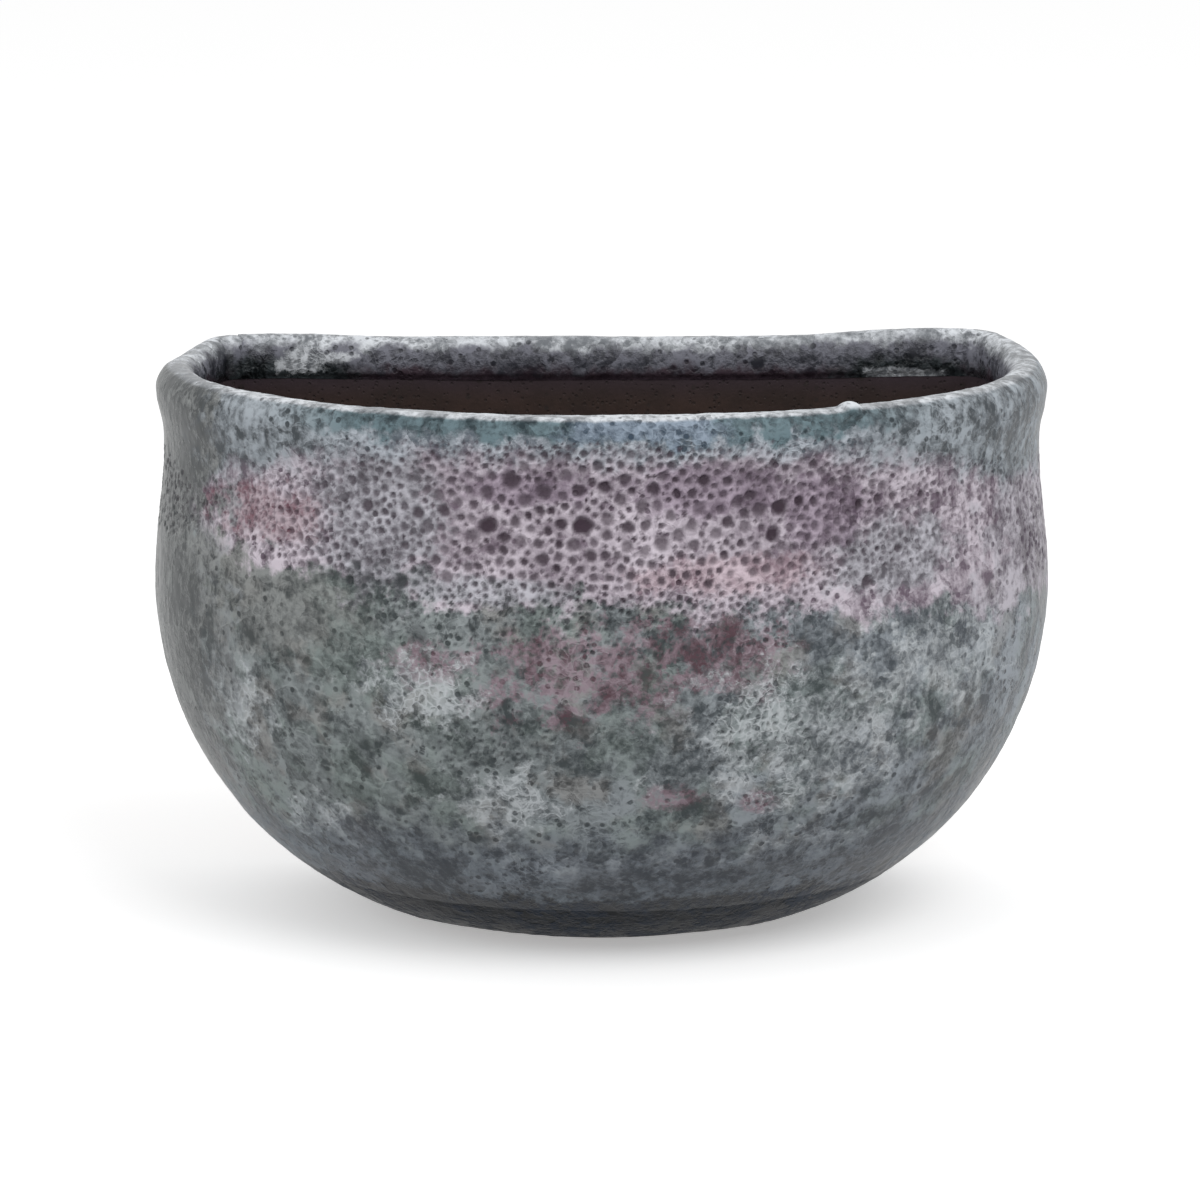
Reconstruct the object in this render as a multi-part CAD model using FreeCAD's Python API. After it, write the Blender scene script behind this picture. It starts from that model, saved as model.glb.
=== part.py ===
"""Half-round stoneware wall planter with a rolled rim and a crater glaze. Millimetres, +Z up.

The pot is one fired piece, built up from clay members luted together with slip: a base slab, a curved
bowl wall, a flat back slab, two coils worked into the inside corners and a thick rim coil. Four coats
of glaze lie on the clay in bands, one above the other. Each of them is a solid of its own here.

Everything is drawn about the pot's widest line (x across, y from front to wall, z from the floor that
it stands on), and moved at the end so that the origin is midway between the two hanging holes.
"""
import FreeCAD, Part
import math
import os

from FreeCAD import Vector

# Body, measured over the glaze
belly_width = 300.0      # side to side at the widest height
height = 188.3           # floor to the crest of the rim
front_depth = 115.5      # from the widest line forward to the front of the belly
wall_depth = 50.5        # from the widest line back to the face that lies on the wall
side_draw_in = 15.0      # how far each side has come in by the time it reaches the wall
corner_round = 16.0      # rounding where the sides turn into the flat back
belly_height = 112.8     # height of the widest line
neck_groove = 4.1        # how far the neck lies inside the belly
neck_drop = 24.8         # from the crest down to the neck
rim_inset = 1.8          # how far the rim's bulge lies inside the belly
foot_width = 124.0       # side to side where the lower curve meets the floor
curve_power = 1.9        # how slowly the lower curve leaves the belly
curve_fullness = 2.65    # how full the lower curve is near the foot

# Rim, measured over the glaze
rim_thickness = 14.0     # across the rim
crest_flat = 1.5         # width of the level top between its two roundings
crest_lean = 0.52        # share of the rounding that lies on the outside
crest_drop = 8.5         # how far down the crest's rounding reaches

# Clay
clay_wall = 9.5          # curved wall, without glaze
back_slab_thickness = 12.0
base_thickness = 14.0
hollow_corner_round = 7.0  # rounding of the inside corners
corner_coil_bite = 1.0     # how far the corner coils reach past that rounding

# Glaze
glaze = 1.5              # thickness of every coat
glaze_back_margin = 4.0  # bare clay between the glaze's edge and the wall
glaze_foot_margin = 4.0  # bare clay between the glaze's edge and the floor
lip_coat_drop = 14.0     # from the crest down to the lower edge of the rim's coat, inside and out
belt_coat_height = 50.0  # height of the crater belt below it
slate_coat_height = 20.0  # from the floor up to the top of the dark lower coat

# Holes
hanging_spacing = 150.0
hanging_radius = 4.5
hanging_drop = 40.0      # from the crest down to the hanging holes
drain_radius = 8.0
drain_from_wall = 58.0   # from the wall to the middle of the drain hole
drill_runout = 1.0       # how far a drill passes beyond the clay at each end

# Worked out from the sizes above
belly_radius = belly_width / 2
neck_radius = belly_radius - neck_groove
rim_radius = belly_radius - rim_inset
mouth_radius = rim_radius - rim_thickness
neck_height = height - neck_drop
bulge_height = height - crest_drop
hanging_height = height - hanging_drop
lip_coat_low = height - lip_coat_drop
belt_low = lip_coat_low - belt_coat_height
crest_outer = (rim_thickness - crest_flat) * crest_lean
crest_inner = rim_thickness - crest_flat - crest_outer
foot_share = foot_width / belly_width
lower_depth = belly_height / (1 - foot_share ** curve_fullness) ** (1 / curve_power)
foot_overrun = (lower_depth - belly_height) / 2  # the lower curve is drawn this far past the floor
clay_inset = glaze + clay_wall
slab_y = wall_depth - back_slab_thickness
coat_y = wall_depth - glaze_back_margin
corner_coil_radius = hollow_corner_round + corner_coil_bite

# How finely the curves are drawn
lower_steps = 12
blend_steps = 4
crest_steps = 5
front_steps = 24
side_steps = 5
corner_steps = 5
tangent_rounds = 50      # halvings in the search for the corner's tangent point
flare_turn = math.radians(80)  # how far the mouth's rounding turns before it runs straight on
flare_runout = 0.6             # length of that straight, as a share of the rounding


def blend(start, end, share):
    """A value that leaves start and reaches end without a kink, as share goes from 0 to 1."""
    return start + (end - start) * (1 - math.cos(math.pi * share)) / 2


def side_line(belly, neck, bulge):
    """Points (radius, height) up the pot's side, from just under the floor to the rim's bulge."""
    points = []
    lowest = math.asin((belly_height + foot_overrun) / lower_depth)
    for step in range(lower_steps + 1):
        fall = math.sin(lowest * (1 - step / lower_steps))
        radius = belly * (1 - fall ** curve_power) ** (1 / curve_fullness)
        points.append((radius, belly_height - lower_depth * fall))
    stretches = [(belly, belly_height, neck, neck_height), (neck, neck_height, bulge, bulge_height)]
    for start, start_z, end, end_z in stretches:
        for step in range(1, blend_steps + 1):
            share = step / blend_steps
            points.append((blend(start, end, share), start_z + (end_z - start_z) * share))
    return points


def moved_in(points, inset):
    """The same line, moved in square to itself."""
    result = []
    for number, (radius, z) in enumerate(points):
        before = points[max(number - 1, 0)]
        after = points[min(number + 1, len(points) - 1)]
        along_r, along_z = after[0] - before[0], after[1] - before[1]
        length = math.hypot(along_r, along_z)
        result.append((radius - inset * along_z / length, z + inset * along_r / length))
    return result


def outer_line(inset):
    """The side's line over the glaze, or inside it by inset."""
    return moved_in(side_line(belly_radius, neck_radius, rim_radius), inset)


def inner_line(inset):
    """The hollow's line, which goes straight up from the belly to the mouth."""
    mouth = mouth_radius + glaze + clay_inset
    return moved_in(side_line(belly_radius, mouth, mouth), inset)


def plan(radius, depth, back_y, corner):
    """Points of the outline from above, from one end of the flat back round the front to the other."""
    bow = side_draw_in / wall_depth ** 2 * radius / belly_radius
    low, high = 0.0, back_y
    for _ in range(tangent_rounds):  # finds where the side passes into the corner's arc
        turn_y = (low + high) / 2
        turn = math.atan(2 * bow * turn_y)
        if turn_y + corner * (1 - math.sin(turn)) < back_y:
            low = turn_y
        else:
            high = turn_y
    centre_x = radius - bow * turn_y ** 2 - corner * math.cos(turn)
    centre_y = back_y - corner
    half = []
    for step in range(corner_steps):
        angle = (math.pi / 2 - turn) * step / corner_steps
        half.append((centre_x + corner * math.sin(angle), centre_y + corner * math.cos(angle)))
    for step in range(side_steps):
        y = turn_y * (1 - step / side_steps)
        half.append((radius - bow * y ** 2, y))
    for step in range(front_steps // 2):
        angle = math.pi * step / front_steps
        half.append((radius * math.cos(angle), -depth * math.sin(angle)))
    return half + [(0.0, -depth)] + [(-x, y) for x, y in reversed(half)]


def outline(radius, z, inset, back_y, corner):
    """The curved part of the outline at one height. inset is the line's distance inside the glaze."""
    depth = radius * (front_depth - inset) / (belly_radius - inset)
    points = [Vector(x, y, z) for x, y in plan(radius, depth, back_y, corner)]
    shares = [step / (len(points) - 1) for step in range(len(points))]
    curve = Part.BSplineCurve()
    curve.interpolate(Points=points, Parameters=shares)
    return curve.toShape()


def closed(curve):
    """The outline with the straight back drawn in."""
    first, last = curve.Vertexes[0].Point, curve.Vertexes[-1].Point
    return Part.Wire([curve, Part.makeLine(last, first)])


def bowl_form(line, inset, back_y, corner):
    """A solid bowl up to the rim's bulge, with a true plane for its back."""
    curves = [outline(radius, z, inset, back_y, corner) for radius, z in line]
    side = Part.makeLoft([Part.Wire([curve]) for curve in curves], False).Faces[0]
    corners = [edge for edge in side.Edges if edge.BoundBox.ZLength > height / 2]
    low, high = closed(curves[0]), closed(curves[-1])
    back = Part.Face(Part.Wire(Part.sortEdges(corners + [low.Edges[1], high.Edges[1]])[0]))
    skin = Part.Compound([side, back, Part.Face(low), Part.Face(high)])
    skin.sewShape()
    return Part.Solid(skin.Shells[0])


def rim_form(line, inset, top, crest, back_y, corner):
    """A solid from the belly up, whose top edge rounds in by crest, or out if that is negative."""
    wires = [closed(outline(radius, z, inset, back_y, corner)) for radius, z in line if z > belly_height]
    last, bulge = line[-1]
    turn = math.pi / 2 if crest > 0 else flare_turn
    for step in range(1, crest_steps + 1):
        angle = turn * step / crest_steps
        shift = crest * (1 - math.cos(angle))
        z = bulge + (top - bulge) * math.sin(angle)
        wires.append(closed(outline(last - shift, z, inset, back_y - shift, corner - shift)))
    if crest < 0:  # runs straight on, out through the top
        shift += crest * flare_runout
        z += (top - bulge) / math.tan(turn) * flare_runout
        wires.append(closed(outline(last - shift, z, inset, back_y - shift, corner - shift)))
    return Part.makeLoft(wires, True)


def space(z_low, z_high, y_low=-belly_width, y_high=belly_width):
    """A block wider than the pot, between two heights and two depths."""
    corner = Vector(-belly_width, y_low, z_low)
    return Part.makeBox(2 * belly_width, y_high - y_low, z_high - z_low, corner)


def solid_clay():
    """The clay below the rim, before it is hollowed."""
    return bowl_form(outer_line(glaze), glaze, wall_depth, corner_round - glaze)


def hollow():
    """The space inside the walls, up to the rim."""
    return bowl_form(inner_line(clay_inset), clay_inset, slab_y, hollow_corner_round)


def mouth(inset):
    """The space inside the rim, which flares out through the top. inset is clay, or clay and glaze."""
    top = height - clay_inset - glaze + inset
    extra = inset - clay_inset
    flare = crest_inner - glaze + extra
    return rim_form(inner_line(inset), inset, top, -flare, slab_y - extra, hollow_corner_round - extra)


def rim_coil():
    """The rolled lip, from the neck up."""
    top = height - glaze
    roll = rim_form(outer_line(glaze), glaze, top, crest_outer - glaze, wall_depth, corner_round - glaze)
    return roll.cut(mouth(clay_inset)).common(space(neck_height, height))


def lip_glaze(rim):
    """The smooth coat over the rim, outside, on top and inside."""
    coated = rim_form(outer_line(0.0), 0.0, height, crest_outer, wall_depth, corner_round)
    band = coated.common(space(lip_coat_low, height + glaze, y_high=coat_y))
    return band.cut(rim).cut(mouth(clay_inset + glaze))


def lower_glaze(low, high, clay):
    """One of the coats below the rim, between two heights."""
    coated = bowl_form(outer_line(0.0), 0.0, wall_depth, corner_round)
    return coated.common(space(low, high, y_high=coat_y)).cut(clay)


def corner_coil(side):
    """A roll of clay worked into one inside corner, drawn longer than the walls are high."""
    rings = []
    for radius, z in outer_line(clay_inset):
        corner_x = radius * (1 - side_draw_in / belly_radius * (slab_y / wall_depth) ** 2)
        ring = Part.Circle(Vector(side * corner_x, slab_y, z), Vector(0, 0, 1), corner_coil_radius)
        rings.append(Part.Wire([ring.toShape()]))
    return Part.makeLoft(rings, True)


def hanging_hole(side):
    """A drill through the back slab, from the wall side."""
    start = Vector(side * hanging_spacing / 2, wall_depth + drill_runout, hanging_height)
    length = back_slab_thickness + 2 * drill_runout
    return Part.makeCylinder(hanging_radius, length, start, Vector(0, -1, 0))


def drain_hole():
    """A drill up through the base slab."""
    start = Vector(0, wall_depth - drain_from_wall, -drill_runout)
    return Part.makeCylinder(drain_radius, base_thickness + 2 * drill_runout, start)


def pieces():
    """Every piece by name, in the drawing's own place."""
    clay = solid_clay()
    rim = rim_coil()
    walls = clay.common(space(base_thickness, neck_height)).cut(hollow())
    left, right = corner_coil(-1), corner_coil(1)
    plates = walls.cut(left).cut(right)
    back = plates.common(space(0, height, y_low=slab_y))
    return {
        "base_slab": clay.common(space(0, base_thickness)).cut(drain_hole()),
        "bowl_wall": plates.common(space(0, height, y_high=slab_y)),
        "back_slab": back.cut(hanging_hole(-1)).cut(hanging_hole(1)),
        "corner_coils": Part.makeCompound([walls.common(left), walls.common(right)]),
        "rim_coil": rim,
        "lip_glaze": lip_glaze(rim),
        "belt_glaze": lower_glaze(belt_low, lip_coat_low, clay),
        "bowl_glaze": lower_glaze(slate_coat_height, belt_low, clay),
        "slate_glaze": lower_glaze(glaze_foot_margin, slate_coat_height, clay),
    }


origin = Vector(0, wall_depth, hanging_height)
os.makedirs("parts", exist_ok=True)
for name, shape in pieces().items():
    shape.translate(-origin)
    shape.exportStep(f"parts/{name}.step")
    print(name, "valid" if shape.isValid() else "NOT VALID", len(shape.Solids), round(shape.Volume))
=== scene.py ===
# %% [markdown]
# # A half-round wall planter in crater-glazed stoneware
#
# The pot was thrown and luted from red-brown stoneware clay, dipped in a thick glaze that boiled in the
# kiln, and fired once. Its look comes from that glaze: a smooth blue-grey lip, a belt of pale lavender
# crust full of round pits, a mottled grey-green bowl with rose patches, and a dark slate foot.
#
# The clay members come ready from the frame. This script makes the glaze over them as dense meshes, whose
# pits and ragged edges are real geometry, and gives every piece its fired finish.

import bpy
import bmesh
import math
import random

import numpy as np
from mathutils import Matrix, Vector, noise
from mathutils.kdtree import KDTree


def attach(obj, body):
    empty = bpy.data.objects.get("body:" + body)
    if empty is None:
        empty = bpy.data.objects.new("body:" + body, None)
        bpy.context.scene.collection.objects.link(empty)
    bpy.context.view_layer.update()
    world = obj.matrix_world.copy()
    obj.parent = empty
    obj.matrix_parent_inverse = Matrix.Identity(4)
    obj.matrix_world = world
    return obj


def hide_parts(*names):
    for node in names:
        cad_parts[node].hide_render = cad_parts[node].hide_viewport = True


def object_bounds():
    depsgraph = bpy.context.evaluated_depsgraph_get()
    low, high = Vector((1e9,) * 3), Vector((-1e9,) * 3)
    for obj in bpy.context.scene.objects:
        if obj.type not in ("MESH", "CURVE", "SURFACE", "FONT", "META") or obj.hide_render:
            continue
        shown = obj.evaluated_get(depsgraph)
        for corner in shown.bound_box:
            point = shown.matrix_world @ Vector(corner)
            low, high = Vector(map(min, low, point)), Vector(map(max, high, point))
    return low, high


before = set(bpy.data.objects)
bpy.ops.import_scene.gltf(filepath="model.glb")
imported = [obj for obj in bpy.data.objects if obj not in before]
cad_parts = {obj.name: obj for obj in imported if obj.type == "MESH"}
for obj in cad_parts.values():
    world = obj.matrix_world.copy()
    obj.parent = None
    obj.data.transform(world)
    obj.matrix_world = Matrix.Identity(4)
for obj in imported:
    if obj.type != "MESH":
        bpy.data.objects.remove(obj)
cad_low, cad_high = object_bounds()
mm = 0.001
print("clay and coats in the frame:", ", ".join(sorted(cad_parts)))

# %% [markdown]
# ## Camera
#
# The pot was photographed from a little above its rim with a long lens, so its sides hardly converge. The
# angle, the distance and the lens were fitted to the pot's outline. The lens is shifted up a little,
# because the pot stands low in the square picture.

# %% Camera
aim = Vector((0, -83 * mm, -53.5 * mm))
camera_distance = 1594 * mm
camera_elevation = math.radians(13.3)

camera_data = bpy.data.cameras.new("long_lens")
camera_data.lens = 144.45
camera_data.sensor_width = 36
camera_data.shift_x = -0.00125
camera_data.shift_y = 0.0449


def in_scene(name, data):
    """A new object in the scene, from a mesh, a lamp or a camera."""
    thing = bpy.data.objects.new(name, data)
    bpy.context.scene.collection.objects.link(thing)
    return thing


camera = in_scene("camera", camera_data)
away = Vector((0, -math.cos(camera_elevation), math.sin(camera_elevation)))
camera.location = aim + away * camera_distance
camera.rotation_euler = (math.pi / 2 - camera_elevation, 0, 0)
bpy.context.scene.camera = camera
print("camera at", [round(value, 3) for value in camera.location])

# %% [markdown]
# ## Light
#
# Two soft lamps, a white floor and a white world make the plain studio of a catalogue picture. The key
# lamp stands high on the right, and the weaker one on the left opens the shadows.

# %% Light
lamp_places = {  # name: place, width, power
    "key_lamp": (Vector((0.9, -1.3, 1.5)), 1.3, 17.0),
    "fill_lamp": (Vector((-1.5, -1.1, 0.7)), 1.4, 8.0),
}


def make_lamp(name, place, width, power):
    data = bpy.data.lights.new(name, "AREA")
    data.size = width
    data.energy = power
    lamp = in_scene(name, data)
    lamp.location = place
    lamp.rotation_euler = (aim - place).to_track_quat("-Z", "Y").to_euler()


for name, (place, width, power) in lamp_places.items():
    make_lamp(name, place, width, power)

bpy.context.scene.view_settings.view_transform = "Standard"
print(len(lamp_places), "lamps,", sum(power for place, width, power in lamp_places.values()), "W in all")


# %% [markdown]
# ## Small helpers for shader nodes
#
# A finish is a chain of nodes. These helpers add one node, set its sockets and hand on its output, so that
# each finish below reads like a recipe.

# %% Helpers for shader nodes
def srgb(red, green, blue):
    """A colour as it is read off a picture, 0 to 255, turned into the linear value that a shader takes."""
    values = [value / 255 for value in (red, green, blue)]
    return tuple(v / 12.92 if v <= 0.04045 else ((v + 0.055) / 1.055) ** 2.4 for v in values) + (1.0,)


def feed(socket, value):
    """Links another node's output to a socket, or sets the socket to a plain value."""
    if isinstance(value, bpy.types.NodeSocket):
        socket.id_data.links.new(value, socket)
    else:
        socket.default_value = value


def add(kind, settings, inputs, tree=None):
    """A new node with its settings and its inputs, in the tree that the inputs come from."""
    if tree is None:
        tree = next(value.id_data for value in inputs.values() if isinstance(value, bpy.types.NodeSocket))
    node = tree.nodes.new(kind)
    for key, value in settings.items():
        setattr(node, key, value)
    for key, value in inputs.items():
        feed(node.inputs[key], value)
    return node


def calc(operation, first, second=0.0, clamp=False):
    return add("ShaderNodeMath", {"operation": operation, "use_clamp": clamp}, {0: first, 1: second}).outputs[0]


def times(first, second):
    return calc("MULTIPLY", first, second)


def plus(first, second):
    return calc("ADD", first, second)


def minus(first, second):
    return calc("SUBTRACT", first, second)


def vector_calc(operation, first, second=(0, 0, 0)):
    node = add("ShaderNodeVectorMath", {"operation": operation}, {0: first, 1: second})
    return node.outputs["Value" if operation in ("LENGTH", "DOT_PRODUCT") else "Vector"]


def mixed(factor, first, second):
    """Two colours mixed."""
    return add("ShaderNodeMix", {"data_type": "RGBA"}, {0: factor, 6: first, 7: second}).outputs[2]


def ramp(value, start, end, low=0.0, high=1.0):
    """A value that goes smoothly from low to high as another goes from start to end."""
    node = add("ShaderNodeMapRange", {"interpolation_type": "SMOOTHSTEP"},
               {"Value": value, "From Min": start, "From Max": end, "To Min": low, "To Max": high})
    return node.outputs["Result"]


def clouds(vector, scale, detail, roughness):
    """Soft noise from 0 to 1, with about scale lumps in a metre."""
    return add("ShaderNodeTexNoise", {}, {"Vector": vector, "Scale": scale, "Detail": detail,
                                          "Roughness": roughness}).outputs["Fac"]


def new_group(name, inputs, outputs):
    """An empty node group. inputs and outputs are {name: "Float", "Vector" or "Color"}."""
    tree = bpy.data.node_groups.new(name, "ShaderNodeTree")
    for side, sockets in (("INPUT", inputs), ("OUTPUT", outputs)):
        for socket, kind in sockets.items():
            tree.interface.new_socket(name=socket, in_out=side, socket_type="NodeSocket" + kind)
    return tree, tree.nodes.new("NodeGroupInput").outputs, tree.nodes.new("NodeGroupOutput").inputs


def use(group, inputs):
    """The outputs of a node group, used in the tree that its inputs come from."""
    return add("ShaderNodeGroup", {"node_tree": group}, inputs).outputs


def new_material(name):
    """A material, its node tree, its shader's sockets and its object coordinates."""
    material = bpy.data.materials.new(name)
    material.use_nodes = True
    tree = material.node_tree
    shader = tree.nodes["Principled BSDF"]
    place = tree.nodes.new("ShaderNodeTexCoord").outputs["Object"]
    return material, tree, shader.inputs, place


def bumped(height, distance):
    """Normals that follow a height from 0 to 1, as if it were a relief of that distance."""
    node = add("ShaderNodeBump", {}, {"Height": height, "Distance": distance, "Strength": 1.0})
    return node.outputs["Normal"]


# %% [markdown]
# ## The floor and the white world
#
# Both show white to the camera and to reflections, and are dimmer for the light that falls on the pot, so
# that it isn't washed out from below. The pot's shadow still darkens the floor.

# %% The floor and the white world
def light_only(tree):
    """1 for rays that light the scene, 0 for those that the camera, a reflection or glass sees."""
    path = tree.nodes.new("ShaderNodeLightPath").outputs
    seen = calc("MAXIMUM", path["Is Camera Ray"], path["Is Glossy Ray"])
    seen = calc("MAXIMUM", seen, path["Is Transmission Ray"])
    return minus(1.0, seen)


world_light = 0.62

world = bpy.data.worlds.new("white_studio")
world.use_nodes = True
bpy.context.scene.world = world
world_tree = world.node_tree
strength = ramp(light_only(world_tree), 0.0, 1.0, 1.0, world_light)
feed(world_tree.nodes["Background"].inputs["Strength"], strength)
world_tree.nodes["Background"].inputs["Color"].default_value = (1, 1, 1, 1)

floor_size = 12.0
floor_bm = bmesh.new()
bmesh.ops.create_grid(floor_bm, x_segments=1, y_segments=1, size=floor_size / 2)
bmesh.ops.translate(floor_bm, verts=floor_bm.verts, vec=(0, 0, cad_low.z))
floor_mesh = bpy.data.meshes.new("floor")
floor_bm.to_mesh(floor_mesh)
floor_bm.free()
floor = in_scene("floor", floor_mesh)

floor_white = (0.97, 0.97, 0.97, 1)    # the floor as it is seen
floor_bounce = (0.42, 0.42, 0.43, 1)   # the floor as it lights the pot
floor_glow = (0.36, 0.36, 0.36, 1)

floor_material, floor_tree, floor_shader = new_material("white_floor")[:3]
unseen = light_only(floor_tree)
feed(floor_shader["Base Color"], mixed(unseen, floor_white, floor_bounce))
feed(floor_shader["Emission Color"], mixed(unseen, floor_glow, (0, 0, 0, 1)))
floor_shader["Emission Strength"].default_value = 1.0
floor_shader["Roughness"].default_value = 0.9
floor_shader["Specular IOR Level"].default_value = 0.0
floor_mesh.materials.append(floor_material)
print("the floor lies", round(-cad_low.z / mm, 1), "mm under the hanging holes")

# %% [markdown]
# ## The pot's line
#
# The pot is half round: seen from above, its front is half an ellipse, its sides draw in a little, and two
# rounded corners turn into the flat back. Up its side runs one line: from the foot out to the belly, in to
# the neck, out again to the rim's bulge, over the crest and down inside the mouth.
#
# A station is one point of that line with what its outline from above needs: half its width, its depth in
# front, how far back it reaches, the rounding of its corners, and its height.

# %% Sizes of the pot
# the overall box comes from the frame, the rest is written as it was measured
belly_radius = (cad_high.x - cad_low.x) / 2
wall_depth = 50.5 * mm            # from the widest line back to the wall
front_depth = 115.5 * mm          # from the widest line to the front
side_draw_in = 15 * mm
corner_round = 16 * mm
floor_z = cad_low.z
crest_z = cad_high.z
belly_height = 112.8 * mm
neck_radius = belly_radius - 4.1 * mm
rim_radius = belly_radius - 1.8 * mm
neck_height = crest_z - floor_z - 24.8 * mm
bulge_height = crest_z - floor_z - 8.5 * mm
foot_width = 124 * mm
curve_power = 1.9
curve_fullness = 2.65
rim_thickness = 14 * mm
crest_outer = 6.5 * mm
crest_inner = 6 * mm
crest_drop = 8.5 * mm
glaze = 1.5 * mm
clay_wall = 9.5 * mm
slab_y = wall_depth - 12 * mm
hollow_corner_round = 7 * mm
coat_y = wall_depth - 4 * mm      # the coats stop this far back, short of the wall
print("the pot is", round(2 * belly_radius / mm), "mm wide and", round((crest_z - floor_z) / mm, 1), "mm high")

# %% [markdown]
# ## The line up the side
#
# The belly is part of a superellipse, which is fuller than an ellipse. Above it the side swings in to the
# neck and out to the rim's bulge along two halves of a cosine wave. The crest is a quarter turn on the
# outside and another on the inside.

# %% The line up the side
RADIUS, DEPTH, BACK, CORNER, HEIGHT = range(5)


def side_radius(height):
    """Half the pot's width at a height over the floor, up to the rim's bulge."""
    if height <= belly_height:
        foot_share = foot_width / 2 / belly_radius
        lower_depth = belly_height / (1 - foot_share ** curve_fullness) ** (1 / curve_power)
        fall = (belly_height - height) / lower_depth
        return belly_radius * (1 - fall ** curve_power) ** (1 / curve_fullness)
    if height <= neck_height:
        share = (height - belly_height) / (neck_height - belly_height)
        return belly_radius + (neck_radius - belly_radius) * (1 - math.cos(math.pi * share)) / 2
    share = min((height - neck_height) / (bulge_height - neck_height), 1.0)
    return neck_radius + (rim_radius - neck_radius) * (1 - math.cos(math.pi * share)) / 2


def side_station(height):
    radius = side_radius(height)
    return (radius, radius * front_depth / belly_radius, wall_depth, corner_round, height)


def crest_station(turn):
    """A point of the crest's outer rounding, from its bulge at 0 to the top at 90 degrees."""
    shift = crest_outer * (1 - math.cos(turn))
    radius = rim_radius - shift
    height = bulge_height + crest_drop * math.sin(turn)
    return (radius, radius * front_depth / belly_radius, wall_depth - shift, corner_round - shift, height)


def mouth_station(turn):
    """A point of the crest's inner rounding, from the top at 90 degrees down to 0."""
    inset = 2 * glaze + clay_wall
    shift = crest_inner * (1 - math.cos(turn))
    radius = rim_radius - rim_thickness + shift
    depth = radius * (front_depth - inset) / (belly_radius - inset)
    height = bulge_height + crest_drop * math.sin(turn)
    return (radius, depth, slab_y - glaze + shift, hollow_corner_round - glaze + shift, height)


def whole_line(lowest, lip_end):
    """Stations from the lower edge of the glaze up the outside, over the crest and down to lip_end."""
    side = [side_station(height) for height in np.arange(lowest, bulge_height, 0.3 * mm)]
    outer = [crest_station(turn) for turn in np.linspace(0, math.pi / 2, 40)]
    inner = [mouth_station(turn) for turn in np.linspace(math.pi / 2, 0, 40)]
    down = []
    for height in np.linspace(bulge_height, lip_end, 12)[1:]:
        down.append(inner[-1][:HEIGHT] + (height,))
    return np.array(side + outer + inner + down)


def lengths(points):
    """How far along a line each of its points is."""
    steps = np.hypot(*np.diff(points, axis=0).T)
    return np.concatenate([[0], np.cumsum(steps)])


foot_edge = 4 * mm                        # the glaze stops this far above the floor
slate_top = 20 * mm
lip_low = crest_z - floor_z - 14 * mm     # lower edge of the lip's coat, inside and outside
belt_low = lip_low - 50 * mm

line = whole_line(foot_edge, lip_low)
line_length = lengths(line[:, [DEPTH, HEIGHT]])
print("the glazed line is", round(line_length[-1] / mm), "mm long")


def stations(places):
    """Stations at given lengths along the line."""
    return np.stack([np.interp(places, line_length, column) for column in line.T], axis=1)


def place_of(height):
    """The length along the line, on its outside, at a height over the floor."""
    outside = line[:, HEIGHT].argmax()
    return np.interp(height, line[:outside, HEIGHT], line_length[:outside])


# %% [markdown]
# ## From a thrown ring to the half-round plan
#
# A potter could throw the pot round and then press one side flat. Here every height has its own outline,
# already pressed to the half-round plan, and one ring of points runs along it. The points are spread
# evenly, so that no quad is stretched.

# %% The outline from above
def half_outline(station):
    """The outline's right half as points, from the front's middle to the back's middle, and the number of
    the point where the coat ends in front of the wall."""
    radius, depth, back, corner, height = station
    bow = side_draw_in / wall_depth ** 2 * radius / belly_radius
    turn_y = back - corner
    for _ in range(30):  # closes in on the point where the side passes into the corner
        turn_y = back - corner * (1 - math.sin(math.atan(2 * bow * turn_y)))
    turn = math.atan(2 * bow * turn_y)
    front = np.linspace(math.pi / 2, 0, 160)
    side = np.linspace(0, turn_y, 40)[1:]
    edge = math.asin(min(1.0, (coat_y - back + corner) / corner))
    arc = np.concatenate([np.linspace(turn, edge, 30)[1:], np.linspace(edge, math.pi / 2, 8)[1:]])
    centre_x = radius - bow * turn_y ** 2 - corner * math.cos(turn)
    x = np.concatenate([radius * np.cos(front), radius - bow * side ** 2, centre_x + corner * np.cos(arc),
                        [0]])
    y = np.concatenate([-depth * np.sin(front), side, back - corner + corner * np.sin(arc), [back]])
    return np.stack([x, y], axis=1), len(front) + len(side) + 28


def ring(station, front_columns, back_columns):
    """Points round one outline: from the coat's left edge round the front to its right edge, and on round
    the back. Without back_columns only the front is made, up to and including the right edge."""
    half, edge = half_outline(station)
    along = lengths(half)
    front = np.linspace(-along[edge], along[edge], front_columns + 1)
    x = np.interp(abs(front), along, half[:, 0]) * np.sign(front)
    y = np.interp(abs(front), along, half[:, 1])
    if back_columns:
        total = along[-1]
        back = np.linspace(along[edge], 2 * total - along[edge], back_columns + 1)[1:-1]
        past = np.minimum(back, 2 * total - back)
        x = np.concatenate([x, np.interp(past, along, half[:, 0]) * np.sign(total - back)])
        y = np.concatenate([y, np.interp(past, along, half[:, 1])])
    height = np.full_like(x, station[HEIGHT] + floor_z)
    return np.stack([x, y - wall_depth, height], axis=1)


def rings(table, front_columns, back_columns=0):
    return np.array([ring(station, front_columns, back_columns) for station in table])


belly_outline = half_outline(side_station(belly_height))[0]
print("half of the belly's outline is", round(lengths(belly_outline)[-1] / mm), "mm long")


# %% [markdown]
# ## A coat of glaze as a solid shell
#
# Each coat is a closed shell: a fine outer face, which carries the craters, and a plain underside on the
# clay. It starts as a flat sheet with a row for each step up the line and back down the underside, and a
# column for each step round the pot. The sheet is wrapped round the clay, and its first and last row are
# welded. Both faces are found from the directions square to the pot's smooth surface.

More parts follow.
